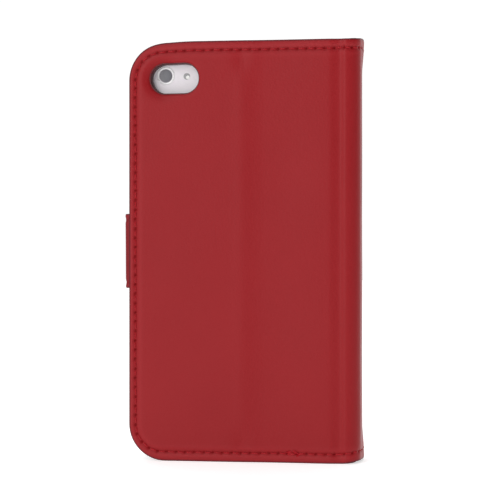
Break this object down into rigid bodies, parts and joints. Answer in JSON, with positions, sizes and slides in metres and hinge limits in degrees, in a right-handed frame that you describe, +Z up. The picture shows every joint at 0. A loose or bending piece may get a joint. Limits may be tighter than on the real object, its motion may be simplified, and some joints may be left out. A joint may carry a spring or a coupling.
{
  "type": "phone wallet case",
  "caption": "Book-style leather phone wallet case with spine, card pockets, clip-in phone tray, camera window and magnetic closure strap, standing closed.",
  "frame": {"origin": "bottom centre of the closed case's bounding box, strap included, on the surface it stands on", "axes": "+Z up along the height of the standing case, +Y out of the back cover with the camera window, +X from the spine to the free edge with the strap"},
  "size_m": [0.0699, 0.0218, 0.123],
  "materials": {
    "outer_leather": "smooth semi-gloss red coated leather with red stitching",
    "lining_leather": "matte red coated leather",
    "board": "pressed grey-brown fibre board",
    "tray_plastic": "fine matte black moulded polycarbonate",
    "adhesive_foam": "off-white double-sided foam tape",
    "steel": "nickel-plated, satin"
  },
  "bodies": {
    "back_cover": {"back_skin": "outer_leather", "back_board_edge_side": "board", "back_board_spine_side": "board", "back_lining": "lining_leather", "tray_adhesive_pad": "adhesive_foam", "phone_tray": "tray_plastic", "strap_anchor": "outer_leather"},
    "spine": {"spine_skin": "outer_leather", "spine_board": "board", "spine_lining": "lining_leather"},
    "front_cover": {"front_skin": "outer_leather", "front_board": "board", "front_lining": "lining_leather", "banknote_pocket": "lining_leather", "card_pocket_rear": "lining_leather", "card_pocket_front": "lining_leather", "clasp_steel_disc": "steel"},
    "strap_side": {"strap_side_leather": "outer_leather", "strap_side_lining": "lining_leather"},
    "strap_flap": {"strap_flap_leather": "outer_leather", "strap_flap_lining": "lining_leather", "strap_flap_stiffener": "board", "strap_magnet": "steel"}
  },
  "joints": [
    {"name": "spine_hinge", "type": "hinge", "parent": "back_cover", "child": "spine", "pos_m": [-0.0299, 0.01107, 0.0615], "axis": [0, 0, -1], "range_deg": [0, 175]},
    {"name": "cover_hinge", "type": "hinge", "parent": "spine", "child": "front_cover", "pos_m": [-0.0299, -0.00838, 0.0615], "axis": [0, 0, -1], "range_deg": [0, 175]},
    {"name": "strap_root", "type": "hinge", "parent": "back_cover", "child": "strap_side", "pos_m": [0.03422, 0.00948, 0.0615], "axis": [0, 0, 1], "range_deg": [0, 150]},
    {"name": "strap_fold", "type": "hinge", "parent": "strap_side", "child": "strap_flap", "pos_m": [0.03422, -0.00972, 0.0615], "axis": [0, 0, 1], "range_deg": [0, 90]}
  ],
  "couplings": [
    {"joint": "strap_fold", "follows": "strap_root", "ratio": 0.6}
  ]
}
